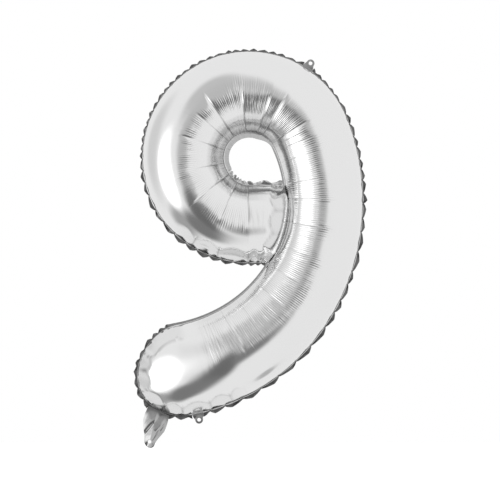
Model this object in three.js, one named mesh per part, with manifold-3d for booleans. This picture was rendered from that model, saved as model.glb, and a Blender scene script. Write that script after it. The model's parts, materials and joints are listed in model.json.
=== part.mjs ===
// A foil number balloon, the figure 9, inflated.
//
// Two sheets of metallised film are heat-sealed together round the outline of the figure and
// blown up into a fat tube. Its centre line is three runs that meet tangentially: the stem's
// wide arc, the bowl's ring and a short straight run that ends against the stem, where one web
// of sealed film joins the two. Outside the seal the films lie flat on each other as a narrow
// flange. The filling neck hangs from the flange at the tail, and two small tabs with punched
// holes carry a ribbon. Inside the neck's root lie the two plain films of the self-sealing valve.
//
// Millimetres. X is to the reader's right, Z is up and the balloon faces -Y. The figure is drawn
// with its seal in the plane y = 0. At the end the origin goes to the top tab's front face.

import * as THREE from "three";
import { mergeVertices } from "three/addons/utils/BufferGeometryUtils.js";
import Module from "manifold-3d";

// Centre line. Angles are in degrees, counted anticlockwise from +X.
const RING_RADIUS = 126;
const STEM_RADIUS = 327;
const JOIN_ANGLE = 24; // where the stem's arc runs into the bowl's ring
const TAIL_ANGLE = -80; // centre of the tail's round end, on the stem's arc
const RING_END_ANGLE = 270; // where the ring runs into the straight end of the bowl

// Widths of the inflated tube, seam to seam, and its depths, front to back.
const TAIL_WIDTH = 172;
const TAIL_DEPTH = 152;
const STEM_WIDTH = 146;
const STEM_DEPTH = 138;
const RING_WIDTH = 153;
const RING_DEPTH = 144;
const BOWL_END_WIDTH = 146;
const BOWL_END_DEPTH = 118;

// The bowl's closed end.
const WEB = 9; // sealed film between its seam and the stem's seam
const WEB_LAP = 1;
const BOWL_END_ROLL = 34; // the length in which its face falls away to the seam
const NARROWING_ANGLE = 205; // where on the ring the tube begins to narrow to its end

// Films and flange.
const FILM = 0.5;
const SEAL_GAP = 0.35; // between the two films where they lie together
const FLANGE = 9;
const HOLE_FLANGE = 11; // round the hole of the figure
const STEM_FLANGE = 4; // along the stem's hollow side, where the film gathers

// Filling neck, on the tail's round end.
const NECK_TURN = 33; // how far round the tail's end from its widest place, in degrees
const NECK_LEAN = 10; // it hangs a little more upright than the edge it grows from
const NECK_WIDTH = 44;
const NECK_SHOULDER = 34; // from the root to where the neck begins to narrow
const NECK_TIP_RADIUS = 11;
const NECK_LENGTH = 68;
const VALVE_WIDTH = 34;
const VALVE_LENGTH = 60;
const VALVE_FILM = 0.4;
const VALVE_GAP = 0.4;
const VALVE_INSET = 4; // from the seam to the valve's root, inside the balloon

// Ribbon tabs.
const TOP_TAB_ANGLE = 57; // on the ring
const BOTTOM_TAB_ANGLE = -78; // on the stem's arc
const TAB_WIDTH = 20;
const TAB_REACH = 8.5; // from the fold to the centre of the hole
const TAB_RIM = 4; // film left round the hole
const RIBBON_HOLE = 7;
const TAB_HOLD = 2.5; // from the fold to the place where the tab is held

// What folds is parted from the flange along a straight line, so that it can turn.
const FOLD_LEDGE = 2; // flange left between the seam and the fold
const FOLD_GAP = 2;
const SIDE_GAP = 1.5;

const DOME_STEPS = 12;
const RING_STEPS = 30;
const STEM_STEPS = 22;
const CAP_STEPS = 8;
const RUN_STEPS = 9;
const WEB_STEPS = 8;
const HOLE_STEPS = 10;
const BLUNT = 4; // half the width of the dome where it runs out at the tail's tip

const rad = THREE.MathUtils.degToRad;
const lerp = THREE.MathUtils.lerp;
const smooth = THREE.MathUtils.smoothstep;
const along = (angle, length) => new THREE.Vector2(Math.cos(rad(angle)), Math.sin(rad(angle))).multiplyScalar(length);

// The two centres, in the plane of the seal. The two circles touch at JOIN_ANGLE.
const ringCentre = new THREE.Vector2(0, 0);
const stemCentre = ringCentre.clone().sub(along(JOIN_ANGLE, STEM_RADIUS - RING_RADIUS));
const runStart = ringCentre.clone().add(along(RING_END_ANGLE, RING_RADIUS));

// The tube's half width and half depth at an angle on the stem's arc or on the ring.
function stemSize(angle) {
  const toTail = smooth(-angle, 0, -TAIL_ANGLE);
  const toRing = smooth(angle, 0, JOIN_ANGLE * 2);
  return {
    half: (STEM_WIDTH + (TAIL_WIDTH - STEM_WIDTH) * toTail + (RING_WIDTH - STEM_WIDTH) * toRing) / 2,
    deep: (STEM_DEPTH + (TAIL_DEPTH - STEM_DEPTH) * toTail + (RING_DEPTH - STEM_DEPTH) * toRing) / 2,
  };
}

function ringSize(angle) {
  const atJoin = stemSize(JOIN_ANGLE);
  const fromJoin = smooth(angle, JOIN_ANGLE, JOIN_ANGLE * 3);
  const toEnd = smooth(angle, NARROWING_ANGLE, RING_END_ANGLE);
  return {
    half: lerp(atJoin.half, RING_WIDTH / 2, fromJoin) - ((RING_WIDTH - BOWL_END_WIDTH) / 2) * toEnd,
    deep: lerp(atJoin.deep, RING_DEPTH / 2, fromJoin) - ((RING_DEPTH - BOWL_END_DEPTH) / 2) * toEnd,
  };
}

// The stem's inner seam, as x at a height z. Its radius changes slowly with the angle, so a few
// rounds settle it.
function stemSeamX(z) {
  let radius = STEM_RADIUS - STEM_WIDTH / 2;
  for (let round = 0; round < 4; round++) {
    const angle = THREE.MathUtils.radToDeg(Math.asin((z - stemCentre.y) / radius));
    radius = STEM_RADIUS - stemSize(angle).half;
  }
  return stemCentre.x + Math.sqrt(radius ** 2 - (z - stemCentre.y) ** 2);
}

// The inner flange narrows from the tail to the stem's hollow side and widens again to the hole.
function stemInnerFlange(angle) {
  return lerp(FLANGE, STEM_FLANGE, smooth(angle, TAIL_ANGLE, TAIL_ANGLE / 2));
}

// A station across the tube: where an offset from the centre line lies, the dome's half width
// and height there, and how far the flange reaches on each side.
function arcStation(centre, radius, angle, size, inner, outer) {
  const place = (offset) => centre.clone().add(along(angle, radius + offset));
  return { place, ...size, inner, outer };
}

function tailStations() {
  const end = TAIL_WIDTH / 2;
  const reach = end + FLANGE;
  const distances = [reach - 1, end + FLANGE / 2, end];
  for (let step = CAP_STEPS - 1; step > 0; step--) distances.push(end * Math.sin((rad(90) * step) / CAP_STEPS));
  return distances.map((distance) => {
    const share = Math.sqrt(Math.max(0, 1 - (distance / end) ** 2));
    const angle = TAIL_ANGLE - THREE.MathUtils.radToDeg(distance / STEM_RADIUS);
    const half = Math.max(BLUNT, end * share);
    const flange = Math.sqrt(reach ** 2 - distance ** 2) - half;
    const size = { half, deep: (TAIL_DEPTH / 2) * share };
    return arcStation(stemCentre, STEM_RADIUS, angle, size, flange, flange);
  });
}

function stemStations() {
  return Array.from({ length: STEM_STEPS + 1 }, (_, step) => {
    const angle = lerp(TAIL_ANGLE, JOIN_ANGLE, step / STEM_STEPS);
    return arcStation(stemCentre, STEM_RADIUS, angle, stemSize(angle), stemInnerFlange(angle), FLANGE);
  });
}

function ringStations() {
  return Array.from({ length: RING_STEPS }, (_, step) => {
    const angle = lerp(JOIN_ANGLE, RING_END_ANGLE, (step + 1) / RING_STEPS);
    const inner = lerp(STEM_FLANGE, HOLE_FLANGE, smooth(angle, JOIN_ANGLE, JOIN_ANGLE * 3));
    return arcStation(ringCentre, RING_RADIUS, angle, ringSize(angle), inner, FLANGE);
  });
}

// The bowl's straight end is cut to the curve of the stem's seam, so each offset from the
// centre line has its own length. Steps crowd towards the seam, where the face rolls away.
function runStations() {
  const { half, deep } = ringSize(RING_END_ANGLE);
  const endX = (z) => stemSeamX(z) - WEB;
  const length = endX(runStart.y) - runStart.x;
  const station = (share, beyond) => {
    const left = Math.min(1, (length * (1 - share)) / BOWL_END_ROLL);
    const roll = Math.sqrt(1 - (1 - left) ** 2);
    const place = (offset) => {
      const z = runStart.y - offset;
      return new THREE.Vector2(lerp(runStart.x, endX(z), share) + beyond, z);
    };
    return { place, half, deep: deep * roll, inner: HOLE_FLANGE, outer: FLANGE };
  };
  const shares = Array.from({ length: RUN_STEPS }, (_, step) => Math.sin((rad(90) * (step + 1)) / RUN_STEPS));
  return [...shares.map((share) => station(share, 0)), station(1, WEB / 3)];
}

// The web, from low to high, lapping onto the flanges on both sides.
function webStations() {
  const low = runStart.y - BOWL_END_WIDTH / 2 - FLANGE + WEB_LAP;
  const high = runStart.y + BOWL_END_WIDTH / 2 + HOLE_FLANGE - WEB_LAP;
  return Array.from({ length: WEB_STEPS + 1 }, (_, step) => {
    const z = lerp(low, high, step / WEB_STEPS);
    const place = (offset) => new THREE.Vector2(stemSeamX(z) - WEB / 2 + offset, z);
    return { place, half: WEB / 2 - WEB_LAP * 2, deep: 0, inner: WEB_LAP, outer: WEB_LAP };
  });
}

// One panel: a skin of even thickness whose section at each station is flange, dome, flange.
// side is -1 for the front panel and 1 for the back one.
function panelGeometry(stations, side) {
  const steps = Array.from({ length: DOME_STEPS + 1 }, (_, step) => rad(lerp(-90, 90, step / DOME_STEPS)));
  const points = [];
  const lay = (station, offset, height) => {
    const { x, y } = station.place(offset);
    points.push(x, side * height, y);
  };
  for (const station of stations) {
    const { half, deep, inner, outer } = station;
    for (const skin of [FILM, 0]) {
      const base = SEAL_GAP / 2 + skin;
      const wide = half - FILM + skin;
      lay(station, -half - inner, base);
      for (const step of steps) lay(station, wide * Math.sin(step), base + deep * Math.cos(step));
      lay(station, half + outer, base);
    }
  }
  const count = DOME_STEPS + 3;
  const at = (row, skin, column) => (row * 2 + skin) * count + column;
  const faces = [];
  const quad = (a, b, c, d) => (side < 0 ? faces.push(a, b, c, a, c, d) : faces.push(a, c, b, a, d, c));
  const last = stations.length - 1;
  for (let row = 0; row < last; row++) {
    for (let column = 0; column < count - 1; column++) {
      quad(at(row, 0, column), at(row, 0, column + 1), at(row + 1, 0, column + 1), at(row + 1, 0, column));
      quad(at(row, 1, column), at(row + 1, 1, column), at(row + 1, 1, column + 1), at(row, 1, column + 1));
    }
    quad(at(row, 1, 0), at(row, 0, 0), at(row + 1, 0, 0), at(row + 1, 1, 0));
    quad(at(row, 0, count - 1), at(row, 1, count - 1), at(row + 1, 1, count - 1), at(row + 1, 0, count - 1));
  }
  for (let column = 0; column < count - 1; column++) {
    quad(at(0, 1, column), at(0, 1, column + 1), at(0, 0, column + 1), at(0, 0, column));
    quad(at(last, 0, column), at(last, 0, column + 1), at(last, 1, column + 1), at(last, 1, column));
  }
  const geometry = new THREE.BufferGeometry();
  geometry.setAttribute("position", new THREE.Float32BufferAttribute(points, 3));
  geometry.setIndex(faces);
  return geometry;
}

const wasm = await Module();
wasm.setup();

function solidOf(geometry) {
  const bare = geometry.clone();
  bare.deleteAttribute("normal");
  bare.deleteAttribute("uv");
  const merged = mergeVertices(bare, 1e-3);
  return new wasm.Manifold(
    new wasm.Mesh({
      numProp: 3,
      vertProperties: merged.attributes.position.array,
      triVerts: new Uint32Array(merged.index.array),
    }),
  );
}

function geometryOf(solid) {
  const { vertProperties, triVerts } = solid.getMesh();
  const geometry = new THREE.BufferGeometry();
  geometry.setAttribute("position", new THREE.BufferAttribute(vertProperties, 3));
  geometry.setIndex(new THREE.BufferAttribute(triVerts, 1));
  geometry.computeVertexNormals();
  return geometry;
}

// A seat is a group on the seam whose X runs along the edge, whose Y points away from the
// balloon and whose Z is the balloon's +Y, so that flat pieces are drawn in their own plane.
function seat(point, outward) {
  const group = new THREE.Group();
  const edge = along(outward + 90, 1);
  const out = along(outward, 1);
  group.position.set(point.x, 0, point.y);
  group.setRotationFromMatrix(
    new THREE.Matrix4().makeBasis(
      new THREE.Vector3(-edge.x, 0, -edge.y).negate(),
      new THREE.Vector3(out.x, 0, out.y),
      new THREE.Vector3(0, 1, 0),
    ),
  );
  group.updateMatrix();
  return group;
}

// A point on the seam round the tail's end, and the direction that faces away from it.
function tailEdge(turn) {
  const distance = (TAIL_WIDTH / 2) * Math.sin(rad(turn));
  const angle = TAIL_ANGLE - THREE.MathUtils.radToDeg(distance / STEM_RADIUS);
  return stemCentre.clone().add(along(angle, STEM_RADIUS + (TAIL_WIDTH / 2) * Math.cos(rad(turn))));
}

const neckChord = tailEdge(NECK_TURN - 15).sub(tailEdge(NECK_TURN + 15));
const neckOutward = THREE.MathUtils.radToDeg(neckChord.angle()) - 90;
const neckSeat = seat(tailEdge(NECK_TURN), neckOutward);
const topSeat = seat(
  ringCentre.clone().add(along(TOP_TAB_ANGLE, RING_RADIUS + ringSize(TOP_TAB_ANGLE).half)),
  TOP_TAB_ANGLE,
);
const bottomSeat = seat(
  stemCentre.clone().add(along(BOTTOM_TAB_ANGLE, STEM_RADIUS + stemSize(BOTTOM_TAB_ANGLE).half)),
  BOTTOM_TAB_ANGLE,
);

// The gap that a folding piece of this width leaves in the flange.
function notch(place, width) {
  const thick = (FILM + SEAL_GAP) * 4;
  const box = new THREE.BoxGeometry(width + SIDE_GAP * 2, FLANGE * 2, thick);
  box.translate(0, FOLD_LEDGE + FLANGE, 0);
  box.applyMatrix4(place.matrix);
  return solidOf(box);
}

const notches = [notch(neckSeat, NECK_WIDTH), notch(topSeat, TAB_WIDTH), notch(bottomSeat, TAB_WIDTH)];

function panel(side) {
  const tube = [...tailStations(), ...stemStations(), ...ringStations(), ...runStations()];
  const skin = solidOf(panelGeometry(tube, side)).add(solidOf(panelGeometry(webStations(), side)));
  return geometryOf(notches.reduce((left, cut) => left.subtract(cut), skin));
}

// Flat films. Each starts past the fold, at FOLD_LEDGE + FOLD_GAP from the seam.
const root = FOLD_LEDGE + FOLD_GAP;

function ribbonHole(x, y) {
  return new THREE.Path().absarc(x, y, RIBBON_HOLE / 2, 0, rad(360), true);
}

function neckShape() {
  const lean = Math.tan(rad(NECK_LEAN));
  const tip = new THREE.Vector2(lean * NECK_LENGTH, root + NECK_LENGTH - NECK_TIP_RADIUS);
  const shape = new THREE.Shape();
  shape.moveTo(-NECK_WIDTH / 2, root);
  shape.lineTo(NECK_WIDTH / 2, root);
  shape.lineTo(NECK_WIDTH / 2 + lean * NECK_SHOULDER, root + NECK_SHOULDER);
  shape.absarc(tip.x, tip.y, NECK_TIP_RADIUS, 0, rad(180), false);
  shape.lineTo(-NECK_WIDTH / 2 + lean * NECK_SHOULDER, root + NECK_SHOULDER);
  shape.closePath();
  shape.holes.push(ribbonHole(tip.x, tip.y));
  return shape;
}

function tabShape() {
  const shape = new THREE.Shape();
  const rim = RIBBON_HOLE / 2 + TAB_RIM;
  shape.moveTo(-TAB_WIDTH / 2, root);
  shape.lineTo(TAB_WIDTH / 2, root);
  shape.absarc(0, root + TAB_REACH, rim, 0, rad(180), false);
  shape.closePath();
  shape.holes.push(ribbonHole(0, root + TAB_REACH));
  return shape;
}

function valveShape() {
  const shape = new THREE.Shape();
  shape.moveTo(-VALVE_WIDTH / 2, -VALVE_INSET);
  shape.lineTo(-VALVE_WIDTH / 2, -VALVE_INSET - VALVE_LENGTH);
  shape.lineTo(VALVE_WIDTH / 2, -VALVE_INSET - VALVE_LENGTH);
  shape.lineTo(VALVE_WIDTH / 2, -VALVE_INSET);
  shape.closePath();
  return shape;
}

// A flat film or a stack of films, from low to high in the seat's Z.
function flat(shape, low, high) {
  const geometry = new THREE.ExtrudeGeometry(shape, {
    depth: high - low,
    bevelEnabled: false,
    curveSegments: HOLE_STEPS,
  });
  return geometry.translate(0, 0, low);
}

const foil = new THREE.MeshStandardMaterial({ color: 0xd9dadd, metalness: 1, roughness: 0.18 });
const clearFilm = new THREE.MeshStandardMaterial({ color: 0xe9edf0, metalness: 0, roughness: 0.35 });

function piece(name, geometry, material) {
  const mesh = new THREE.Mesh(geometry, material);
  mesh.name = name;
  return mesh;
}

const front = SEAL_GAP / 2;
const inside = VALVE_GAP / 2;
neckSeat.add(
  piece("neck_front_film", flat(neckShape(), -front - FILM, -front), foil),
  piece("neck_back_film", flat(neckShape(), front, front + FILM), foil),
  piece("valve_front_film", flat(valveShape(), -inside - VALVE_FILM, -inside), clearFilm),
  piece("valve_back_film", flat(valveShape(), inside, inside + VALVE_FILM), clearFilm),
);
topSeat.add(piece("top_hang_tab", flat(tabShape(), -front - FILM, front + FILM), foil));
bottomSeat.add(piece("bottom_hang_tab", flat(tabShape(), -front - FILM, front + FILM), foil));

const balloon = new THREE.Group();
balloon.add(
  piece("front_panel", panel(-1), foil),
  piece("back_panel", panel(1), foil),
  neckSeat,
  topSeat,
  bottomSeat,
);

// The balloon is held by its top tab: the origin goes to the tab's front face, below the hole.
const held = new THREE.Vector3(0, root + TAB_HOLD, -front - FILM).applyMatrix4(topSeat.matrix);
const numberNine = new THREE.Group();
numberNine.add(balloon);
balloon.position.sub(held);

export default numberNine;
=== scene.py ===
"""Foil number balloon, the figure 9.

Makes the balloon's two sealed foil panels, which move with the balloon's body, its filling neck,
its ribbon tabs and its valve's material, and a plain studio around them.
"""

import json
import math

import bpy
import numpy as np
from bpy.props import FloatProperty, FloatVectorProperty, IntProperty, PointerProperty
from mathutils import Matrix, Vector


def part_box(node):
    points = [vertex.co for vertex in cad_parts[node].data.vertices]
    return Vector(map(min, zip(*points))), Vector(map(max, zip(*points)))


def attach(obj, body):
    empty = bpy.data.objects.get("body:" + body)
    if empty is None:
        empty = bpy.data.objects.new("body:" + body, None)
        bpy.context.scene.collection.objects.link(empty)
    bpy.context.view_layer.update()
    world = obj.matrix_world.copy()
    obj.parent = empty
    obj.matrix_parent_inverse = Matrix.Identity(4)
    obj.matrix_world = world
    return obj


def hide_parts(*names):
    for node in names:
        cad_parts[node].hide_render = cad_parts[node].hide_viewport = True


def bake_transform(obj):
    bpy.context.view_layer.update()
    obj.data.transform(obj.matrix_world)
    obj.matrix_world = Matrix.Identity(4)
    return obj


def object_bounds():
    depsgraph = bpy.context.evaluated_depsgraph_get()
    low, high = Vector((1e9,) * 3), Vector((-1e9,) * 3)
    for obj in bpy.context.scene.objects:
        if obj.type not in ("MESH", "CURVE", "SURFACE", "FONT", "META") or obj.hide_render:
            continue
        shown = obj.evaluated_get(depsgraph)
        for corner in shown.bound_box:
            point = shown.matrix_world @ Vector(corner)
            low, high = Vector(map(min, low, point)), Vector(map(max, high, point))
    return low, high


bl_info = {
    "name": "Foil Number Balloon",
    "version": (1, 0, 0),
    "blender": (4, 5, 0),
    "location": "View3D > Sidebar > Balloon",
    "description": "Builds an inflated foil figure 9 with its neck, tabs, valve and studio",
    "category": "Object",
}

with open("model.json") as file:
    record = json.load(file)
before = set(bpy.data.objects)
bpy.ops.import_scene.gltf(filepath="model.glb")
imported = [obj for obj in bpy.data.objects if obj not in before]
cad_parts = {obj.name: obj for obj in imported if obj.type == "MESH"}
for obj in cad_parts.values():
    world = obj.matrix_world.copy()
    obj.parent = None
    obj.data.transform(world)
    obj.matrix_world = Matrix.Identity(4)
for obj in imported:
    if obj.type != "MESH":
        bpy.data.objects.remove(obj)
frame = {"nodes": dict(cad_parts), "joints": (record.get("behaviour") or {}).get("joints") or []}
frame_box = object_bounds()

MM = 0.001


def hex_colour(text):
    """An sRGB hex colour, such as E6E7EA, as linear red, green and blue."""
    values = [int(text[i : i + 2], 16) / 255 for i in (0, 2, 4)]
    return [v / 12.92 if v <= 0.04045 else ((v + 0.055) / 1.055) ** 2.4 for v in values]


# ---------------------------------------------------------------- properties


class BalloonFoil(bpy.types.PropertyGroup):
    """Sizes of the inflated foil that a user would change"""

    colour: FloatVectorProperty(
        name="Foil Colour", description="Colour that the foil reflects",
        default=hex_colour("F3F3F3"), size=3, min=0, max=1, subtype="COLOR",
    )
    roughness: FloatProperty(
        name="Foil Roughness", description="How much the foil blurs what it reflects",
        default=0.13, min=0, max=1,
    )
    facet_depth: FloatProperty(
        name="Facet Depth", description="How deep the long creases lie between the taut facets",
        default=2.2 * MM, min=0, max=6 * MM, unit="LENGTH",
    )
    wrinkle_depth: FloatProperty(
        name="Wrinkle Depth", description="Height of the fine wrinkles where the foil gathers",
        default=0.16 * MM, min=0, max=1 * MM, unit="LENGTH",
    )
    rim_depth: FloatProperty(
        name="Rim Depth",
        description="How far the rims by the seam are flattened between their crimps",
        default=5.5 * MM, min=0, max=12 * MM, unit="LENGTH",
    )
    frill_depth: FloatProperty(
        name="Frill Depth", description="How far the sealed flange folds out of its plane",
        default=3.4 * MM, min=0, max=8 * MM, unit="LENGTH",
    )
    frill_pitch: FloatProperty(
        name="Frill Pitch", description="Length of seam to one fold of the flange",
        default=22 * MM, min=8 * MM, max=80 * MM, unit="LENGTH",
    )
    seed: IntProperty(
        name="Wrinkle Seed", description="Picks another set of creases", default=9, min=0,
    )


class BalloonStage(bpy.types.PropertyGroup):
    """The studio round the balloon"""

    lens: FloatProperty(
        name="Lens", description="Focal length of the camera, in millimetres", default=135, min=20,
    )
    view_width: FloatProperty(
        name="View Width", description="Width of the scene that the camera takes in",
        default=0.951, min=0.2, unit="LENGTH",
    )
    floor_drop: FloatProperty(
        name="Floor Drop", description="Height of the balloon's lowest point over the floor",
        default=0.3, min=0.01, unit="LENGTH",
    )
    backdrop_colour: FloatVectorProperty(
        name="Backdrop Colour", description="Colour of the floor and the backdrop",
        default=hex_colour("FAFAFA"), size=3, min=0, max=1, subtype="COLOR",
    )


# ------------------------------------------------------------------ materials


def add_node(tree, kind, inputs=(), **settings):
    """Adds a node, with its settings, and its inputs as values or as links from sockets."""
    node = tree.nodes.new(kind)
    for name, value in settings.items():
        setattr(node, name, value)
    for key, value in dict(inputs).items():
        if isinstance(value, bpy.types.NodeSocket):
            tree.links.new(value, node.inputs[key])
        else:
            node.inputs[key].default_value = value
    return node


def new_material(name):
    """A material with an empty node tree, and the tree."""
    material = bpy.data.materials.new(name)
    material.use_nodes = True
    material.node_tree.nodes.clear()
    return material, material.node_tree


def metallised_film(name, gathered):
    """Metallised polyester film, vacuum-coated with aluminium and laminated.

    The coating gives a true metal's mirror, slightly blurred by the film over it. Where the
    film is gathered it has wrinkles too fine for the mesh. They really lie 1 mm apart, and are
    drawn 2 mm apart so that they show. Painted shade: where the crushed attribute says so,
    the foil's colour is mixed toward a darker grey that stands in for the shade in its creases,
    crimps and folds, and the foil is made a little rougher there.
    """
    foil = bpy.context.scene.balloon_foil
    wrinkle_pitch, wrinkle_length = 0.002, 0.03  # metres
    # Painted shade: the darker grey that the foil's colour is mixed toward where shade is painted.
    painted_shade_grey = (*hex_colour("6E6E6E"), 1)
    material, tree = new_material(name)
    mapped = add_node(tree, "ShaderNodeUVMap", uv_map="seam")
    fine = add_node(
        tree, "ShaderNodeMapping",
        {"Vector": mapped.outputs["UV"], "Scale": (1 / wrinkle_pitch, 1 / wrinkle_length, 1)},
    )
    wrinkles = add_node(
        tree, "ShaderNodeTexNoise",
        {"Vector": fine.outputs["Vector"], "Scale": 1.0, "Detail": 2.0, "Roughness": 0.6},
        noise_dimensions="2D",
    )
    place = add_node(tree, "ShaderNodeTexCoord")
    haze = add_node(
        tree, "ShaderNodeTexNoise",
        {"Vector": place.outputs["Object"], "Scale": 14.0, "Detail": 3.0},
    )
    gather, crushed = (
        add_node(tree, "ShaderNodeAttribute", attribute_name=key, attribute_type="GEOMETRY")
        for key in ("gather", "crushed")
    )
    depth = add_node(
        tree, "ShaderNodeMath", {0: wrinkles.outputs["Fac"], 1: gather.outputs["Fac"]},
        operation="MULTIPLY",
    )
    bump = add_node(
        tree, "ShaderNodeBump", {"Height": depth.outputs[0], "Strength": 1.0, "Distance": gathered}
    )
    blur = add_node(
        tree, "ShaderNodeMapRange",
        {"Value": haze.outputs["Fac"], "From Min": 0.3, "From Max": 0.7,
         "To Min": foil.roughness * 0.8, "To Max": foil.roughness * 1.25},
    )
    # Painted shade: mixes the foil's own colour toward the painted shade grey.
    foil_with_shade = add_node(
        tree, "ShaderNodeMix",
        {"Factor": crushed.outputs["Fac"], "A": (*foil.colour, 1), "B": painted_shade_grey},
        data_type="RGBA",
    )
    dull = add_node(
        tree, "ShaderNodeMath", {0: crushed.outputs["Fac"], 1: 0.12, 2: blur.outputs["Result"]},
        operation="MULTIPLY_ADD",
    )
    shader = add_node(
        tree, "ShaderNodeBsdfPrincipled",
        {"Base Color": foil_with_shade.outputs["Result"], "Metallic": 1.0,
         "Roughness": dull.outputs[0], "Normal": bump.outputs["Normal"]},
    )
    add_node(tree, "ShaderNodeOutputMaterial", {"Surface": shader.outputs["BSDF"]})
    return material


def valve_film():
    """Polyethylene valve film, blown thin: milky, matt and a little see-through."""
    material, tree = new_material("polyethylene_valve_film")
    milky, milky_pale = ((*hex_colour(text), 1) for text in ("E2E6E9", "F2F4F5"))
    place = add_node(tree, "ShaderNodeTexCoord")
    cloud = add_node(
        tree, "ShaderNodeTexNoise",
        {"Vector": place.outputs["Object"], "Scale": 90.0, "Detail": 4.0},
    )
    tint = add_node(
        tree, "ShaderNodeMix", {"Factor": cloud.outputs["Fac"], "A": milky, "B": milky_pale},
        data_type="RGBA",
    )
    bump = add_node(
        tree, "ShaderNodeBump",
        {"Height": cloud.outputs["Fac"], "Strength": 0.4, "Distance": 0.2 * MM},
    )
    shader = add_node(
        tree, "ShaderNodeBsdfPrincipled",
        {"Base Color": tint.outputs["Result"], "Roughness": 0.42, "IOR": 1.51, "Alpha": 0.75,
         "Normal": bump.outputs["Normal"]},
    )
    add_node(tree, "ShaderNodeOutputMaterial", {"Surface": shader.outputs["BSDF"]})
    return material


# ---------------------------------------------------------------- foil shapes


def noise(seed, x, y=0.0):
    """Smooth noise from -1 to 1 on a lattice of whole numbers, the same on every run."""
    x, y = np.broadcast_arrays(np.asarray(x, float), np.asarray(y, float))
    column, row = np.floor(x), np.floor(y)
    across, up = x - column, y - row
    across, up = across * across * (3 - 2 * across), up * up * (3 - 2 * up)

    def corner(i, j):
        value = np.sin((column + i) * 127.1 + (row + j) * 311.7 + seed * 74.7) * 43758.5453
        return (value - np.floor(value)) * 2 - 1

    low = corner(0, 0) * (1 - across) + corner(1, 0) * across
    high = corner(0, 1) * (1 - across) + corner(1, 1) * across
    return low * (1 - up) + high * up


def smooth(value, start, end):
    """Rises evenly from 0 at start to 1 at end, level at both. start may be the greater."""
    share = np.clip((np.asarray(value, float) - start) / (end - start), 0, 1)
    return share * share * (3 - 2 * share)


def creases(seed, length, pitch):
    """Places along a seam, about a pitch apart, none closer than half of one."""
    count = max(2, round(length / pitch))
    steps = 1 + 0.45 * noise(seed, np.arange(count) * 3.7)
    return np.cumsum(steps) / steps.sum() * length


def nearest(places, along):
    """How far each point lies from the nearest place, which one it is, and the gap there."""
    right = np.clip(np.searchsorted(places, along), 1, len(places) - 1)
    left = right - 1
    which = np.where(along - places[left] < places[right] - along, left, right)
    return np.abs(along - places[which]), which, places[right] - places[left]


class Figure:
    """The centre line and the widths of the inflated figure 9, in the plane of its seal.

    A wide arc, the stem, runs from the tail's round end into the bowl's ring, and the ring runs
    into a straight end against the stem. Each size is half a width and half a depth. The
    figure's place comes from the panels' boxes.
    """

    ring, stem = 126 * MM, 327 * MM  # radii of the centre line
    join, tail, ring_end = math.radians(24), math.radians(-80), math.radians(270)
    narrowing = math.radians(205)  # where the ring begins to narrow to its end
    tail_size, stem_size = (86 * MM, 76 * MM), (73 * MM, 69 * MM)
    ring_size, end_size = (76.5 * MM, 72 * MM), (73 * MM, 59 * MM)
    flange, hole_flange, stem_flange, tail_flange = 9 * MM, 11 * MM, 4 * MM, 5 * MM
    web = 2 * MM  # sealed film left between the bowl's end and the stem
    roll, fullness = 34 * MM, 3.5  # length in which the bowl's end rolls over, and how squarely
    ring_creases = (9, 31, 58, 71, 97, 126, 141, 163, 193, 220, 245, 269)  # degrees

    def __init__(self):
        front, back = (np.array(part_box(name)) for name in ("front_panel", "back_panel"))
        high = np.maximum(front[1], back[1])
        to_stem = np.array([math.cos(self.join), math.sin(self.join)]) * (self.stem - self.ring)
        self.stem_centre = np.array([high[0] - self.stem - self.stem_size[0] - self.flange, 0.0])
        ring_z = high[2] - self.ring - self.ring_size[0] - self.flange
        self.ring_centre = np.array([self.stem_centre[0] + to_stem[0], ring_z])
        self.stem_centre[1] = ring_z - to_stem[1]
        self.seal_y = (front[1, 1] + back[0, 1]) / 2

    def sizes(self, angle, on_ring):
        """Half width and half depth of the tube at angles on the stem's arc or on the ring."""
        to_tail = smooth(-angle, 0, -self.tail)
        to_ring = smooth(angle, 0, self.join * 2)
        from_join = smooth(angle, self.join, self.join * 3)
        to_end = smooth(angle, self.narrowing, self.ring_end)
        joined = smooth(self.join, 0, self.join * 2)
        result = []
        every = zip(self.tail_size, self.stem_size, self.ring_size, self.end_size)
        for tail, stem, ring, end in every:
            on_stem = stem + (tail - stem) * to_tail + (ring - stem) * to_ring
            at_join = stem + (ring - stem) * joined
            over_ring = at_join + (ring - at_join) * from_join - (ring - end) * to_end
            result.append(np.where(on_ring, over_ring, on_stem))
        return result

    def inner_flange(self, angle, on_ring):
        """Width of the flange along the hollow side and round the figure's hole."""
        change = self.stem_flange - self.tail_flange
        on_stem = self.tail_flange + change * smooth(angle, self.tail, self.tail / 2)
        widening = smooth(angle, self.join, self.join * 3)
        over_ring = self.stem_flange + (self.hole_flange - self.stem_flange) * widening
        return np.where(on_ring, over_ring, on_stem)

    def stem_seam_x(self, z):
        """The stem's inner seam as x at heights z."""
        rise = z - self.stem_centre[1]
        radius = np.full_like(z, self.stem - self.stem_size[0])
        for _ in range(4):
            half = self.sizes(np.arcsin(rise / radius), False)[0]
            radius = self.stem - half
        return self.stem_centre[0] + np.sqrt(radius**2 - rise**2)


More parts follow.
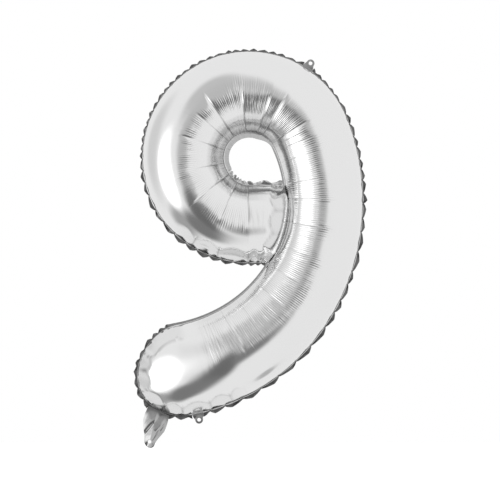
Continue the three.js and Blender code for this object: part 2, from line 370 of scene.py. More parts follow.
def panel_rows(figure, columns, beyond):
    """The panel's net of points, as a table of plan places, heights and lengths.

    columns are the dome's angles from the inner seam, at -90 degrees, to the outer one. beyond
    are the flange's steps as shares of its width. Rows run from the tail's tip to the web. In the
    table, rise is the dome's height and along is the length on the centre line from the tail's
    widest place. seam is the length on the outer seam, and edge the distance in from the nearest
    seam. past is 0 on the dome and 1 at the flange's free edge, and capped is 1 on the tail's
    round end.
    """
    cap_rows, tail_rows, stem_rows, ring_rows, run_rows = 42, 60, 600, 720, 34
    width = len(columns) + 2 * len(beyond)
    is_in = np.arange(width) < len(beyond)
    sine = np.concatenate([-np.ones(len(beyond)), np.sin(columns), np.ones(len(beyond))])
    extra = np.concatenate([-beyond[::-1], np.zeros(len(columns)), beyond])
    cosine = np.concatenate([np.zeros(len(beyond)), np.cos(columns), np.zeros(len(beyond))])
    side = np.where(sine < 0, -1.0, 1.0)
    rows = []

    def add(**values):
        rows.append({key: np.broadcast_to(value, width) for key, value in values.items()})

    # The tail's round end: squares round the tail's centre are drawn as circles.
    half, deep = figure.tail_size
    turns = np.linspace(math.pi / 2, 0, cap_rows, endpoint=False)
    steps = [(1.0, step) for step in beyond[::-1]] + [(math.sin(turn), 0.0) for turn in turns]
    across = sine * half + extra * figure.flange
    for share, step in steps:
        ahead = share * half + step * figure.flange
        reach = np.maximum(np.abs(across), ahead)
        with np.errstate(divide="ignore", invalid="ignore"):
            turn = np.where(
                ahead >= np.abs(across), math.pi / 4 * across / ahead,
                side * (math.pi / 2 - math.pi / 4 * ahead / np.abs(across)),
            )
        turn = np.nan_to_num(turn)
        p, q = reach * np.cos(turn), reach * np.sin(turn)
        angle = figure.tail - p / figure.stem
        out_x = np.cos(turn) * np.sin(angle) + np.sin(turn) * np.cos(angle)
        out_z = -np.cos(turn) * np.cos(angle) + np.sin(turn) * np.sin(angle)
        add(
            x=figure.stem_centre[0] + (figure.stem + q) * np.cos(angle),
            z=figure.stem_centre[1] + (figure.stem + q) * np.sin(angle),
            rise=deep * np.sqrt(np.clip(1 - (reach / half) ** 2, 0, 1)),
            along=-p, past=np.clip((reach - half) / figure.flange, 0, 1), half=half, deep=deep,
            seam=(half + figure.flange / 2) * (turn - math.pi / 2), out_x=out_x, out_z=out_z,
            edge=half - reach, capped=1.0, radius=figure.stem, inner=0.0,
        )

    # The stem's arc and the bowl's ring.
    joined_at = figure.stem * (figure.join - figure.tail)
    tail_end = figure.tail + 140 * MM / figure.stem
    stem_angles = np.concatenate([
        np.linspace(figure.tail, tail_end, tail_rows, endpoint=False),
        np.linspace(tail_end, figure.join, stem_rows),
    ])
    ring_angles = np.linspace(figure.join, figure.ring_end, ring_rows + 1)[1:]
    seam_at = 0.0
    for centre, radius, angles, on_ring in (
        (figure.stem_centre, figure.stem, stem_angles, False),
        (figure.ring_centre, figure.ring, ring_angles, True),
    ):
        first = figure.join if on_ring else figure.tail
        halves, deeps = figure.sizes(angles, on_ring)
        inners = figure.inner_flange(angles, on_ring)
        before = first
        for angle, half, deep, inner in zip(angles, halves, deeps, inners):
            offset = sine * half + extra * np.where(is_in, inner, figure.flange)
            seam_at += (angle - before) * (radius + half + figure.flange / 2)
            before = angle
            add(
                x=centre[0] + (radius + offset) * math.cos(angle),
                z=centre[1] + (radius + offset) * math.sin(angle),
                rise=deep * cosine, along=joined_at * on_ring + radius * (angle - first),
                past=np.abs(extra), half=half, deep=deep, seam=seam_at,
                out_x=math.cos(angle) * side, out_z=math.sin(angle) * side,
                edge=half * (1 - np.abs(sine)), capped=0.0, radius=radius + sine * half,
                inner=inner,
            )

    # The bowl's straight end, cut to the curve of the stem's seam, and the web beyond it. Above
    # the seal the blown end leans on the stem's round side.
    half, deep = (float(v) for v in figure.sizes(figure.ring_end, True))
    ended_at = joined_at + figure.ring * (figure.ring_end - figure.join)
    offset = sine * half + extra * np.where(is_in, figure.hole_flange, figure.flange)
    z = figure.ring_centre[1] - figure.ring - offset
    length = figure.stem_seam_x(z) - figure.web - figure.ring_centre[0]
    middle = float(np.interp(0.0, offset, length))
    run_steps = [(math.sin(t), 0) for t in np.linspace(0, math.pi / 2, run_rows + 1)[1:]]
    for share, step in run_steps + [(1, 0.35), (1, 0.7), (1, 1)]:
        left = np.clip(middle * (1 - share) / figure.roll, 0, 1)
        rise = deep * (1 - (1 - left) ** figure.fullness) ** (1 / figure.fullness) * cosine
        stem_side = figure.stem_size[0] * (1 - np.sqrt(1 - np.minimum(rise / deep, 0.5) ** 2))
        lean = 0.85 * stem_side * smooth(left, 0.7, 0)
        add(
            x=figure.ring_centre[0] + length * share + step * figure.web + lean,
            z=z, rise=rise, along=ended_at + middle * share, past=np.maximum(np.abs(extra), step),
            half=half, deep=deep, seam=seam_at + middle * share, out_x=0.0, out_z=-side,
            edge=np.minimum(half * (1 - np.abs(sine)), length * (1 - share)),
            capped=0.0, radius=0.0, inner=figure.hole_flange,
        )
    return {key: np.array([row[key] for row in rows]) for key in rows[0]}, is_in, sine, joined_at


class BALLOON_OT_panels(bpy.types.Operator):
    """Blow the two sealed foil panels up into the figure 9, with creases, rims and frill"""

    bl_idname = "balloon.panels"
    bl_label = "Foil Panels"

    def execute(self, context):
        foil = context.scene.balloon_foil
        figure = Figure()
        film = metallised_film("metallised_polyester_film", 0.00022)
        for name, side, seed in (("front_foil", -1, foil.seed), ("back_foil", 1, foil.seed + 40)):
            piece = FoilPanel(side, seed, figure, foil).mesh(name, film)
            node = "front_panel" if side < 0 else "back_panel"
            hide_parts(node)
            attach(piece, "balloon")
        return {"FINISHED"}


def grid_mesh(name, film, points, keep, outward, **layers):
    """A smooth mesh of film on a net of points, without the faces that keep leaves out.

    The layer called seam becomes the mesh's UV map, in metres, and others become attributes.
    """
    rows, columns = points.shape[:2]
    index = np.arange(rows * columns).reshape(rows, columns)
    quads = np.stack([index[:-1, :-1], index[:-1, 1:], index[1:, 1:], index[1:, :-1]], 2)
    if not outward:
        quads = quads[:, :, ::-1]
    quads = quads[keep].reshape(-1, 4)
    used = np.unique(quads)
    renumber = np.zeros(rows * columns, int)
    renumber[used] = np.arange(len(used))
    mesh = bpy.data.meshes.new(name)
    mesh.from_pydata(points.reshape(-1, 3)[used].tolist(), [], renumber[quads].tolist())
    for key, values in layers.items():
        if key == "seam":
            layer = mesh.uv_layers.new(name=key)
            corners = values.reshape(-1, 2)[quads].reshape(-1)
            layer.data.foreach_set("uv", corners.astype(np.float32))
        else:
            layer = mesh.attributes.new(key, "FLOAT", "POINT")
            layer.data.foreach_set("value", values.reshape(-1)[used].astype(np.float32))
    mesh.polygons.foreach_set("use_smooth", np.ones(len(quads), bool))
    mesh.update()
    mesh.materials.append(film)
    piece = bpy.data.objects.new(name, mesh)
    bpy.context.scene.collection.objects.link(piece)
    return piece


def frill_places(foil, start, end):
    """Notches of the frilled flange: close on the bowl's back, wide under the tail."""
    stretches = (0.0, 0.12, 0.30, 0.62, 0.85, 1.25, 1.40)  # metres of seam from the tail
    widths = (1.0, 1.9, 1.7, 1.15, 0.85, 0.8, 1.3)
    places = [start]
    while places[-1] < end:
        here = places[-1]
        uneven = 1 + 0.3 * float(noise(foil.seed + 60, here * 71))
        places.append(here + foil.frill_pitch * np.interp(here, stretches, widths) * uneven)
    return np.array(places)


class FoilPanel:
    """One blown panel as a net of points, with its creases, gathers, rims and frill.

    Values are tables over the net of panel_rows. share runs over the dome from 0 at the inner
    seam to 1 at the outer one. plan_in is the distance from the inner seam seen from the front,
    and from_inner the same over the dome. sink is how deep the film lies under the smooth dome,
    and folds how much painted shade its creases, crimps and comb get, from 0 to 1. What is
    added to a seed picks a noise.
    """

    foot = 0.2 * MM  # from the seal's plane to the film
    crease_pitch, widest_facet = 52 * MM, 60 * MM
    comb_pitch, crimp_pitch = 4.0 * MM, 47 * MM

    def __init__(self, side, seed, figure, foil):
        self.side, self.seed, self.figure, self.foil = side, seed, figure, foil
        dome = (np.linspace(-90, -50, 13), np.linspace(-45, 30, 16), np.linspace(34, 90, 29))
        net, self.is_in, sine, self.joined_at = panel_rows(
            figure, np.radians(np.concatenate(dome)), np.array([0.25, 0.5, 0.75, 1.0])
        )
        for key, table in net.items():
            setattr(self, key, table)
        self.sine = np.broadcast_to(sine, self.x.shape)
        self.end_at = self.along.max()
        self.inner_side = self.sine < 0
        self.hollow = self.inner_side & (self.capped < 0.5)
        self.dome = (self.rise > 0).astype(float)
        self.on_ring = smooth(self.along, self.joined_at - 30 * MM, self.joined_at + 30 * MM)
        self.plan_in = self.half * (1 + self.sine)
        self.share = (np.arcsin(np.clip(self.sine, -1, 1)) + math.pi / 2) / math.pi
        self.from_inner = self.share * math.pi * (self.half + self.deep) / 2
        from_tail = smooth(self.along, 30 * MM, 90 * MM)
        to_end = smooth(self.along, self.end_at - 20 * MM, self.end_at - 70 * MM)
        self.straight = (1 - self.capped) * from_tail * to_end

        self.outward = np.stack([self.out_x, np.zeros_like(self.x), self.out_z], 2)
        height = self.foot + self.rise * self.taper()
        self.points = np.stack([self.x, side * height, self.z], 2)
        normal = np.cross(np.gradient(self.points, axis=0), np.gradient(self.points, axis=1))
        normal *= np.sign(normal[..., 1:2]) * side
        self.normal = normal / np.maximum(np.linalg.norm(normal, axis=2, keepdims=True), 1e-12)

        self.lay_creases()
        self.gather_comb()
        self.roll_rims()
        self.fold_frill()
        self.crumple_hole_flange()
        self.points -= self.normal * (self.sink * self.dome)[..., None]
        toward_seam = np.where(self.inner_side, -1.0, 1.0)
        self.points -= self.outward * (toward_seam * self.facet * self.dome)[..., None]
        self.points[..., 1] += figure.seal_y + self.frill_y

    def taper(self):
        """The dome's height as a share of the tube's.

        The tail's end is flatter than a ball, and the bowl runs down to its end.
        """
        along = self.along
        tapered = 1 - 0.4 * smooth(along, 115 * MM, -90 * MM)
        before = (np.sqrt(along**2 + (20 * MM) ** 2) - along) / 2
        tapered *= np.where(
            along >= 0, np.sqrt(np.clip(1 - (before / self.half) ** 2, 0, 1)),
            0.993 - 0.0204 * (1 - np.exp(np.minimum(along, 0) / (30 * MM))),
        )
        down = smooth(along, self.joined_at + 455 * MM, self.end_at + 110 * MM)
        return tapered * (1 - 0.45 * down)

    def lay_creases(self):
        """Creases run from the inner seam over the crest, and the film is taut between them."""
        figure, seed, along, on_ring = self.figure, self.seed, self.along, self.on_ring
        from_join = np.radians(figure.ring_creases) - figure.join
        places = np.concatenate([
            creases(seed, self.joined_at - 14 * MM, self.crease_pitch),
            self.joined_at + figure.ring * from_join, [self.end_at + 40 * MM],
        ])
        gap, which, pitch = nearest(places, along)
        start = np.clip(np.searchsorted(places, along) - 1, 0, len(places) - 2)
        through = np.clip((along - places[start]) / (places[start + 1] - places[start]), 0, 1)
        bulge = through * (1 - through)
        lean = 2.4 * noise(seed + 9, start * 4.1) * bulge * (through - 0.5)
        chord = bulge * (1.1 + 0.5 * noise(seed + 10, start * 2.3)) + lean
        bend = np.where(along > self.joined_at, figure.ring, figure.stem)
        turn = np.minimum(pitch, self.widest_facet) / bend
        tilt = 0.07 * noise(seed + 13, start * 3.3) * (self.plan_in - 40 * MM) * 4 * bulge
        taut = self.straight * smooth(self.plan_in, 4 * MM, 24 * MM)
        taut *= smooth(self.share, 0.62, 0.45)
        self.facet = (self.radius * turn**2 / 2 * chord + tilt) * (taut * (0.5 + 0.5 * on_ring))

        reach = 0.50 + 0.07 * noise(seed + 2, which * 5.3) + 0.03 * on_ring
        cut = self.straight * smooth(self.share, reach + 0.015, reach - 0.10)
        cut *= smooth(self.plan_in, 0, 3 * MM)
        strength = 0.65 + 0.35 * noise(seed + 3, which * 2.9)
        valley = 0.7 * np.exp(-gap / (1.5 * MM)) + 0.3 * np.exp(-gap / (5 * MM))
        self.sink = self.foil.facet_depth * (0.35 + 0.65 * on_ring) * strength * valley * cut
        # Painted shade in the creases' valleys, toward the inner seam.
        near_seam = smooth(self.share, 0.42, 0.30) * (0.3 + 0.7 * on_ring)
        self.folds = 0.45 * np.exp(-gap / (0.9 * MM)) * cut * near_seam

    def gather_comb(self):
        """Wrinkles gathered along the hollow side like a comb, with ragged outer ends."""
        seed, along, share, from_inner = self.seed, self.along, self.share, self.from_inner
        depth = self.foil.wrinkle_depth
        ragged = 0.535 + 0.035 * noise(seed + 4, along / (5 * MM))
        ragged += 0.05 * noise(seed + 5, along / (33 * MM))
        comb = self.straight * smooth(share, ragged + 0.02, ragged - 0.09)
        comb *= 0.4 + 0.6 * smooth(share, 0.22, 0.36) + 0.8 * smooth(self.plan_in, 26 * MM, 14 * MM)
        drift = 2.2 * MM * noise(seed + 6, along / (31 * MM), from_inner / (60 * MM))
        level = 0.65 + 0.35 * noise(seed + 11, along / (15 * MM), from_inner / (70 * MM))
        wave = np.sin((along + drift) / self.comb_pitch * math.tau) * level * comb
        self.sink += 0.9 * depth * wave
        for pitch_mm, weight in ((17.0, 1.0), (8.0, 0.45)):
            pitch = pitch_mm * MM
            fold = noise(seed + pitch_mm, (along + drift) / pitch, from_inner / (pitch * 7))
            self.sink += depth * weight * (1 - np.abs(fold) * 2) * comb
        self.sink += 0.30 * MM * noise(seed + 7, along / (75 * MM), from_inner / (80 * MM))
        # Painted shade on the comb's wrinkles.
        lined = (1 - self.on_ring) * smooth(share, 0.1, 0.3)
        lined += 0.8 * self.on_ring * smooth(share, 0.34, 0.46)
        self.folds += 0.34 * np.maximum(wave, 0) * lined
        self.comb = comb

    def roll_rims(self):
        """Rolled rims, puffed out between crimps, along the bowl's end and round the tail's."""
        along, half, joined_at = self.along, self.half, self.joined_at
        low_ring = smooth(along, joined_at + 430 * MM, joined_at + 470 * MM)
        tail_rim = np.where(
            self.inner_side, smooth(along, 30 * MM, 5 * MM), smooth(along, 100 * MM, 60 * MM)
        )
        at_end = smooth(self.end_at - along, 60 * MM, 45 * MM)
        rim = np.clip(low_ring * np.where(self.inner_side, at_end, 1.0) + tail_rim, 0, 1)

        # The distance in from the rim's own seam, which on the bowl's end is the stem's.
        near_end = along > joined_at + 450 * MM
        to_end = np.maximum(self.end_at - self.figure.web - along, 0)
        to_side = half * (1 - np.abs(self.sine))
        rimless = self.hollow & (along > joined_at)
        edge = np.where(rimless, np.maximum(self.edge, 0) + 60 * MM, self.edge)
        edge = np.where(near_end, np.minimum(edge, to_end), edge)
        by_stem = smooth(to_side - to_end, 0, 12 * MM) * near_end

        round_corner = self.seam.max() + self.z - self.z[-1, -1]
        crimp_at = np.where(near_end & (to_end < to_side), round_corner, self.seam)
        before_tail, crimped_seam = 0.25, 2.1  # metres
        crimps = creases(self.foil.seed + 8, crimped_seam, self.crimp_pitch) - before_tail
        crimp_gap, _, crimp_pitch = nearest(crimps, crimp_at)
        puff = np.sin(np.clip(crimp_gap / (crimp_pitch / 2), 0, 1) * math.pi / 2)
        rim_edge = (15 + 10 * puff) * MM
        down = np.arccos(np.clip(1 - edge / half, -1, 1)) / np.arccos(1 - rim_edge / half)
        flattened = np.where(down < 1, 4 * down * (1 - down), 0) * (rim_edge / (25 * MM)) ** 2
        flattened *= 1 - 0.85 * by_stem
        flattened += 0.25 * by_stem * np.exp(-(((edge - rim_edge) / (2 * MM)) ** 2))
        bead = np.exp(-(((edge - 0.3 * rim_edge) / (4 * MM)) ** 2)) * low_ring * (1 - by_stem)
        pinch = np.exp(-crimp_gap / (1.3 * MM)) * smooth(edge, 22 * MM, 14 * MM)
        pinch *= smooth(edge, 0, 3 * MM)
        self.sink += rim * (self.foil.rim_depth * flattened - 1.2 * MM * bead + 1.6 * MM * pinch)
        # Painted shade at the crimps, over the flattened rims and along the rims' edge line.
        crimp_shade = 0.6 * np.exp(-crimp_gap / (1.1 * MM)) * smooth(edge, 24 * MM, 18 * MM)
        self.folds += rim * (crimp_shade + 0.10 * (down < 1))
        self.folds += rim * 0.30 * np.exp(-np.abs(edge - rim_edge) / (1.2 * MM))

    def fold_frill(self):
        """The flange stands out in folded points between notches and puckers the dome's edge."""
        foil, seam, past, half = self.foil, self.seam, self.past, self.half
        round_end = self.capped > 0.5
        notches = frill_places(foil, seam.min() - 1e-3, seam.max())
        notch_gap, _, _ = nearest(notches, seam)
        here = np.clip(np.searchsorted(notches, seam) - 1, 0, len(notches) - 2)
        between = (seam - notches[here]) / (notches[here + 1] - notches[here])
        apex = 0.5 + 0.22 * noise(foil.seed + 61, here * 3.1)
        point = np.clip(np.where(between < apex, between / apex, (1 - between) / (1 - apex)), 0, 1)
        last = smooth(seam - seam.min(), 34 * MM, 0)
        self.fading = np.where(self.inner_side & round_end, last, 0.0)
        frilled = np.where(self.hollow, 0.0, 1.0 - self.fading) * calm_zones(self.x, self.z)
        length = 0.16 + 0.84 * point**0.6 * (0.8 + 0.2 * noise(foil.seed + 62, here * 5.7))
        length *= 1 - 0.28 * smooth(seam, 0.60, 0.80) * smooth(seam, 1.42, 1.30)
        narrowed = (self.figure.flange - self.figure.tail_flange) * self.fading
        drawn_in = (1 - length) * frilled * self.figure.flange + narrowed
        self.points -= self.outward * (drawn_in * past)[..., None]
        fold_side = np.where(noise(foil.seed + 63, here * 7.3) > 0, 1.0, -1.0)
        self.frill_y = foil.frill_depth * fold_side * (point - 0.35) * past * frilled
        from_seam = half - np.abs(np.where(round_end, half - self.edge, self.sine * half))
        from_seam = np.maximum(np.where(self.hollow, 1.0, from_seam), 0)
        self.sink += 0.9 * MM * np.exp(-notch_gap / (2.5 * MM)) * np.exp(-from_seam / (2.5 * MM))

    def crumple_hole_flange(self):
        """The hole's flange is taut but for the crumpled stretch under the hole."""
        foil, along = self.foil, self.along
        in_hole = self.is_in * (1 - self.capped)
        self.crumpled = smooth(along, self.joined_at + 400 * MM, self.joined_at + 450 * MM)
        wave = noise(foil.seed + 64, along / (7 * MM), self.past * 1.3)
        self.frill_y += in_hole * self.past * (wave * (0.07 + 2.8 * self.crumpled) * MM)
        ragged = (0.5 + 0.5 * noise(foil.seed + 65, along / (8 * MM))) * 0.55 * self.crumpled
        self.points -= self.outward * (in_hole * ragged * self.past * self.inner)[..., None]

    def crushed(self):
        """Painted shade over the panel, from 0 to 1: creases, crimps, comb, the inner seam and the
        flange.
        """
        # Painted shade by the inner seam: strongest within a few mm of it, faint out to about 30
        # mm.
        seam_shade = smooth(self.plan_in, 12 * MM, 4 * MM) * 0.62
        seam_shade += smooth(self.plan_in, 31 * MM, 28 * MM) * 0.22
        stripe = noise(self.seed + 12, self.along / (2.5 * MM), self.from_inner / (20 * MM))
        seam_shade *= (0.8 + 0.2 * stripe) * self.straight * (0.2 + 0.8 * self.on_ring)
        # Painted shade on the flange: full on the outer flange, less where its frill fades and on
        # the hollow side.
        on_hollow = 0.45 * (1 - self.on_ring) + 0.30 * self.crumpled
        flange = np.where(self.is_in & (self.capped < 0.5), on_hollow, 1.0 - 0.55 * self.fading)
        return np.clip(np.where(self.dome > 0, seam_shade, flange) + self.folds * self.dome, 0, 1)

    def gathered(self):
        """Where the finest wrinkles show, from 0 to 1."""
        on_hollow = self.is_in & (self.capped < 0.5)
        flange = np.where(on_hollow, 0.05 + 0.4 * self.crumpled, 0.5)
        return np.clip(self.comb, 0, 1) * self.dome + self.past * flange

    def mesh(self, name, film):
        """The panel as an object, cut away where the neck and the tabs leave it."""
        return grid_mesh(
            name, film, self.points, ~notched(self.points, self.figure), self.side < 0,
            seam=np.stack([self.along, self.from_inner], 2),
            gather=self.gathered(), crushed=self.crushed(),
        )


def seats():
    """The folds of the neck and the tabs: middle, direction along it and away from the balloon."""
    result = {}
    for joint in frame["joints"]:
        if joint["name"].endswith("_fold"):
            edge = np.array(joint["axis"], float)
            out = np.cross((0.0, 1.0, 0.0), edge)
            result[joint["child"]] = (np.array(joint["pos_m"], float), edge, out)
    return result


FOLD_WIDTHS = {"neck": 44 * MM, "top_tab": 20 * MM, "bottom_tab": 20 * MM}


def calm_zones(x, z):
    """0 beside the neck and the tabs, where the flange lies flat, and 1 elsewhere."""
    calm = np.ones_like(x)
    for body, (middle, _, _) in seats().items():
        gap = np.hypot(x - middle[0], z - middle[2])
        reach = FOLD_WIDTHS[body] / 2
        calm *= smooth(gap, reach, reach + 14 * MM)
    return calm


def notched(points, figure):
    """Which faces of the net lie where a tab or the neck leaves the flange."""
    corners = (points[:-1, :-1] + points[1:, 1:]) / 2
    gone = np.zeros(corners.shape[:2], bool)
    for body, (middle, edge, out) in seats().items():
        offset = corners - middle
        beside = np.abs(offset @ edge) < FOLD_WIDTHS[body] / 2 + 0.5 * MM
        beyond = (offset @ out > -0.6 * MM) & (offset @ out < 30 * MM)
        gone |= beside & beyond & (np.abs(corners[..., 1] - figure.seal_y) < 6 * MM)
    return gone


def round_ended(up, width, start, radius, least):
    """Half widths of a film that ends in a half circle from start, and are never under least."""
    cap = np.sqrt(np.clip(1 - ((up - start) / radius) ** 2, 0.0, 1)) * radius
    return np.where(up > start, np.maximum(cap, least), width)


def film_at(seat, name, film, net, depth, outward, crushed):
    """A flat film's net laid on a fold: along it, away from the balloon and backward by depth."""
    middle, edge, out = seat
    sideways, up, keep = net
    points = middle + sideways[..., None] * edge + up[..., None] * out
    points = points + depth[..., None] * np.array((0.0, 1.0, 0.0))
    return grid_mesh(
        name, film, points, keep, outward, seam=np.stack([sideways, up], 2),
        gather=np.full(up.shape, 0.3), crushed=np.broadcast_to(crushed, up.shape),
    )


def film_net(left, right, low, high, count, rows):
    """A net across a flat film, between its left and right edges at each height."""
    t = np.linspace(0, 1, rows)[:, None]
    up = low + (high - low) * np.sin(t * math.pi / 2)
    u = np.linspace(0, 1, count)[None, :]
    lefts, rights = left(up), right(up)
    sideways = lefts + (rights - lefts) * u
    up = np.broadcast_to(up, sideways.shape)
    return sideways, up


def punched(sideways, up, hole_x, hole_y, radius):
    """Moves the points round a hole onto it, and says which faces lie inside it."""
    gap = np.hypot(sideways - hole_x, up - hole_y)
    centre_x = (sideways[:-1, :-1] + sideways[1:, 1:]) / 2
    centre_y = (up[:-1, :-1] + up[1:, 1:]) / 2
    inside = np.hypot(centre_x - hole_x, centre_y - hole_y) < radius
    touched = np.zeros(gap.shape, bool)
    for dx in (0, 1):
        for dy in (0, 1):
            touched[dy : dy + inside.shape[0], dx : dx + inside.shape[1]] |= inside
    rim = touched & (np.abs(gap - radius) < radius * 0.45)
    scale = np.where(rim, radius / np.maximum(gap, 1e-9), 1.0)
    return hole_x + (sideways - hole_x) * scale, hole_y + (up - hole_y) * scale, ~inside


class BALLOON_OT_neck(bpy.types.Operator):
    """Make the crumpled filling neck, two films that hang from the tail's flange"""

    bl_idname = "balloon.neck"
    bl_label = "Filling Neck"

    def execute(self, context):
        foil = context.scene.balloon_foil
        film = metallised_film("metallised_polyester_neck", 0.22 * MM)
        seat = seats()["neck"]
        lean, bow = math.tan(math.radians(10)), 1.5 * MM
        tip, tip_radius, hole = 58 * MM, 11 * MM, 3.5 * MM
        high = tip + tip_radius
        root_mm, swell_mm = 22, 1.5  # half widths

        def half_width(up):
            swelling = np.sin(np.clip(up / (34 * MM), 0, 1) * math.pi)
            body = (root_mm + swell_mm * swelling) * MM
            taper = body + (tip_radius - body) * smooth(up, 26 * MM, tip + 2 * MM)
            return round_ended(up, taper, tip, tip_radius, 0.2 * MM)

        def axis_at(up):
            return lean * np.maximum(up, 0) - bow * np.sin(np.clip(up / high, 0, 1) * math.pi)

        for name, side, node in (
            ("neck_front_foil", -1, "neck_front_film"), ("neck_back_foil", 1, "neck_back_film"),
        ):
            sideways, up = film_net(
                lambda h: axis_at(h) - half_width(h), lambda h: axis_at(h) + half_width(h),
                -2.6 * MM, high, 90, 130,
            )
            net = sideways, up, _ = punched(sideways, up, axis_at(tip), tip, hole)
            across = (sideways - axis_at(up)) / half_width(up)
            crumple = np.zeros_like(up)
            aslant = sideways + up * 0.25
            for pitch, depth in ((19, 1.6), (9, 0.5), (4, 0.12)):
                fold = noise(foil.seed + pitch, aslant / (pitch * MM), up / (pitch * 3.2 * MM))
                crumple += (1 - np.abs(fold) * 2) * depth * MM
            ridge = 2.4 * MM * np.exp(-np.abs(across + 0.1 - up * 3) / 0.3)
            free = smooth(up, 0, 16 * MM)
            belly = 2.0 * MM * (1 - across**2) * smooth(up, 2 * MM, 20 * MM)
            belly *= smooth(up, high, high - 24 * MM)
            depth = (crumple - ridge) * free + side * (0.3 * MM + belly)
            # Painted shade: the neck's foil is mixed toward the darker grey, most at its root.
            piece = film_at(seat, name, film, net, depth, side > 0, 0.70 - 0.18 * free)
            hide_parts(node)
            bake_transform(piece)
        return {"FINISHED"}


class BALLOON_OT_tabs(bpy.types.Operator):
    """Make the two punched ribbon tabs, cut in one with the flange"""

    bl_idname = "balloon.tabs"
    bl_label = "Ribbon Tabs"

    def execute(self, context):
        foil = context.scene.balloon_foil
        film = metallised_film("metallised_polyester_tab", 0.0002)
        root, rim, hole, centre = 10.6 * MM, 7.5 * MM, 3.5 * MM, 9.5 * MM
        for body, node in (("top_tab", "top_hang_tab"), ("bottom_tab", "bottom_hang_tab")):
            seat = seats()[body]

            def half_width(up):
                taper = root + (rim - root) * smooth(up, 0, centre)
                return round_ended(up, taper, centre, rim, 0.15 * MM)

            sideways, up = film_net(
                lambda h: -half_width(h), half_width, -2.8 * MM, centre + rim, 44, 46
            )
            net = sideways, up, _ = punched(sideways, up, 0.0, centre, hole)
            seed = foil.seed + len(node)
            curl = 1.1 * MM * noise(seed, sideways / (9 * MM), up / (14 * MM))
            curl *= smooth(up, 0, 7 * MM)
            name = node.replace("hang", "ribbon")
            # Painted shade: the tabs' foil is mixed 0.6 of the way toward the darker grey.
            piece = film_at(seat, name, film, net, curl, True, 0.6)
            bpy.ops.object.select_all(action="DESELECT")
            piece.select_set(True)
            context.view_layer.objects.active = piece
            wall = piece.modifiers.new("both_films", "SOLIDIFY")
            wall.thickness, wall.offset = 0.8 * MM, 0
            bpy.ops.object.modifier_apply(modifier=wall.name)
            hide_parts(node)
            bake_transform(piece)
        return {"FINISHED"}


class BALLOON_OT_valve(bpy.types.Operator):
    """Finish the two films of the self-sealing valve inside the neck's root"""

    bl_idname = "balloon.valve"
    bl_label = "Valve Films"

    def execute(self, context):
        film = valve_film()
        for node in ("valve_front_film", "valve_back_film"):
            materials = frame["nodes"][node].data.materials
            materials.clear()
            materials.append(film)
        return {"FINISHED"}


# --------------------------------------------------------------------- studio


def soft_light(name, place, target, width, height, power):
    """A soft rectangle of light at a place, turned to a target."""
    lamp = bpy.data.lights.new(name, "AREA")
    lamp.shape = "RECTANGLE"
    lamp.size, lamp.size_y, lamp.energy = width, height, power
    holder = bpy.data.objects.new(name, lamp)
    holder.location = place
    holder.rotation_euler = (Vector(target) - Vector(place)).to_track_quat("-Z", "Y").to_euler()
    bpy.context.scene.collection.objects.link(holder)
    return holder


def studio_zone(tree, direction, centre, reach, low, high):
    """1 inside a soft oval of directions and 0 outside it, fading from low to high of its reach."""
    away = add_node(tree, "ShaderNodeVectorMath", {0: direction, 1: centre}, operation="SUBTRACT")
    scaled = add_node(
        tree, "ShaderNodeVectorMath", {0: away.outputs["Vector"], 1: tuple(1 / v for v in reach)},
        operation="MULTIPLY",
    )
    gap = add_node(tree, "ShaderNodeVectorMath", {0: scaled.outputs["Vector"]}, operation="LENGTH")
    return add_node(
        tree, "ShaderNodeMapRange",
        {"Value": gap.outputs["Value"], "From Min": low, "From Max": high,
         "To Min": 1.0, "To Max": 0.0},
        interpolation_type="SMOOTHSTEP",
    ).outputs["Result"]


def studio_world():
    """A pale studio, darker on the side where nothing is lit, below and behind the camera."""
    world = bpy.data.worlds.new("pale_studio")
    world.use_nodes = True
    tree = world.node_tree
    tree.nodes.clear()
    direction = add_node(tree, "ShaderNodeTexCoord").outputs["Generated"]
    # Each zone's direction, its reach each way, the shares of it at which it begins and ends to
    # fade, and its brightness.
    zones = (
        ((-0.95, 0.10, 0.20), (0.40, 0.55, 0.85), 0.3, 1.0, 0.68),
        ((-0.62, -0.25, -0.70), (0.40, 0.60, 0.34), 0.3, 1.0, 0.38),
        ((-0.28, -0.80, 0.50), (0.32, 0.60, 0.45), 0.4, 1.0, 0.56),
        ((-0.07, -1.0, 0.10), (0.30, 0.9, 0.70), 0.35, 1.0, 0.52),
        ((-0.10, -0.80, -0.40), (0.31, 1.0, 0.52), 0.45, 1.0, 0.15),
        ((0.14, -0.95, -0.26), (0.22, 0.5, 0.24), 0.3, 1.0, 0.20),
        ((-0.74, -0.60, -0.14), (0.41, 0.5, 0.52), 0.5, 1.0, 1.7),
        ((-0.30, -0.62, -0.70), (0.36, 0.42, 0.34), 0.5, 1.0, 0.20),
        ((0.55, 0.07, -0.83), (0.08, 0.2, 0.07), 0.6, 1.0, 0.45),
        ((0.05, 1.00, 0.10), (0.22, 0.50, 0.45), 0.3, 1.0, 0.50),
        ((0.08, 0.92, -0.34), (0.26, 0.45, 0.30), 0.4, 1.0, 0.18),
    )
    level = add_node(tree, "ShaderNodeRGB").outputs["Color"]
    level.default_value = (0.87, 0.87, 0.87, 1)
    for centre, reach, low, high, value in zones:
        inside = studio_zone(tree, direction, centre, reach, low, high)
        level = add_node(
            tree, "ShaderNodeMix", {"Factor": inside, "A": level, "B": (value, value, value, 1)},
            data_type="RGBA",
        ).outputs["Result"]
    sky = add_node(tree, "ShaderNodeBackground", {"Color": level, "Strength": 1.0})
    plain = add_node(tree, "ShaderNodeBackground", {"Color": (1, 1, 1, 1), "Strength": 1.0})
    seen = add_node(tree, "ShaderNodeLightPath").outputs["Is Camera Ray"]
    mixed = add_node(
        tree, "ShaderNodeMixShader",
        {0: seen, 1: sky.outputs["Background"], 2: plain.outputs["Background"]},
    )
    add_node(tree, "ShaderNodeOutputWorld", {"Surface": mixed.outputs["Shader"]})
    return world


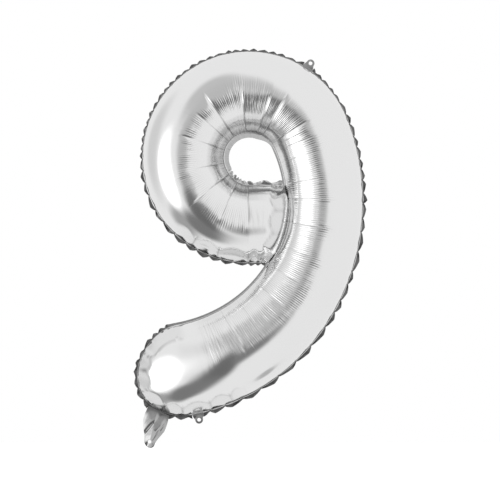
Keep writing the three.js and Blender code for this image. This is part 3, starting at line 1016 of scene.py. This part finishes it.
class BALLOON_OT_stage(bpy.types.Operator):
    """Set up the pale floor and backdrop, the soft light and the camera"""

    bl_idname = "balloon.stage"
    bl_label = "Studio"

    def execute(self, context):
        scene = context.scene
        stage = scene.balloon_stage
        low, high = (np.array(corner) for corner in frame_box)
        centre = (low + high) / 2
        floor_z = low[2] - stage.floor_drop

        # One flat sheet of painted board under the balloon: the floor.
        bpy.ops.object.select_all(action="DESELECT")
        bpy.ops.mesh.primitive_plane_add(size=1, location=(centre[0], 0.5, floor_z))
        board = context.object
        board.name = "painted_board"
        board.scale = (9, 5, 1)
        bpy.ops.object.transform_apply(location=True, rotation=True, scale=True)
        material, tree = new_material("matt_painted_board")
        grain_at = add_node(tree, "ShaderNodeTexCoord").outputs["Object"]
        grain = add_node(
            tree, "ShaderNodeTexNoise", {"Vector": grain_at, "Scale": 60.0, "Detail": 3.0}
        )
        bump = add_node(
            tree, "ShaderNodeBump",
            {"Height": grain.outputs["Fac"], "Strength": 0.1, "Distance": 0.5 * MM},
        )
        shader = add_node(
            tree, "ShaderNodeBsdfPrincipled",
            {"Base Color": (*stage.backdrop_colour, 1), "Roughness": 0.9,
             "Normal": bump.outputs["Normal"]},
        )
        add_node(tree, "ShaderNodeOutputMaterial", {"Surface": shader.outputs["BSDF"]})
        board.data.materials.append(material)
        board.visible_glossy = False

        scene.world = studio_world()
        scene.view_settings.view_transform = "Standard"
        softbox_y, softbox_rise, softbox_side, softbox_watts = 0.2, 2.2, 3, 110
        above = soft_light(
            "overhead_softbox", (centre[0], softbox_y, high[2] + softbox_rise),
            (centre[0], softbox_y, floor_z), softbox_side, softbox_side, softbox_watts,
        )
        above.visible_glossy = False

        camera = bpy.data.cameras.new("camera")
        camera.lens = stage.lens
        holder = bpy.data.objects.new("camera", camera)
        distance = stage.view_width * stage.lens / camera.sensor_width
        holder.location = (centre[0], -distance, centre[2] - 5 * MM)
        holder.rotation_euler = (math.pi / 2, 0, 0)
        scene.collection.objects.link(holder)
        scene.camera = holder
        return {"FINISHED"}


class BALLOON_PT_panel(bpy.types.Panel):
    """The balloon's builders and sizes"""

    bl_idname = "BALLOON_PT_panel"
    bl_label = "Foil Number Balloon"
    bl_space_type = "VIEW_3D"
    bl_region_type = "UI"
    bl_category = "Balloon"

    def draw(self, context):
        for name in ("stage", "panels", "neck", "tabs", "valve"):
            self.layout.operator(f"balloon.{name}")
        for group in (context.scene.balloon_foil, context.scene.balloon_stage):
            for name in group.bl_rna.properties.keys():
                if name not in ("rna_type", "name"):
                    self.layout.prop(group, name)


CLASSES = (
    BalloonFoil,
    BalloonStage,
    BALLOON_OT_stage,
    BALLOON_OT_panels,
    BALLOON_OT_neck,
    BALLOON_OT_tabs,
    BALLOON_OT_valve,
    BALLOON_PT_panel,
)


def register():
    for item in CLASSES:
        bpy.utils.register_class(item)
    bpy.types.Scene.balloon_foil = PointerProperty(type=BalloonFoil)
    bpy.types.Scene.balloon_stage = PointerProperty(type=BalloonStage)


def unregister():
    del bpy.types.Scene.balloon_stage
    del bpy.types.Scene.balloon_foil
    for item in reversed(CLASSES):
        bpy.utils.unregister_class(item)


def main():
    register()
    bpy.ops.balloon.stage()
    bpy.ops.balloon.panels()
    bpy.ops.balloon.neck()
    bpy.ops.balloon.tabs()
    bpy.ops.balloon.valve()


if __name__ == "__main__":
    main()
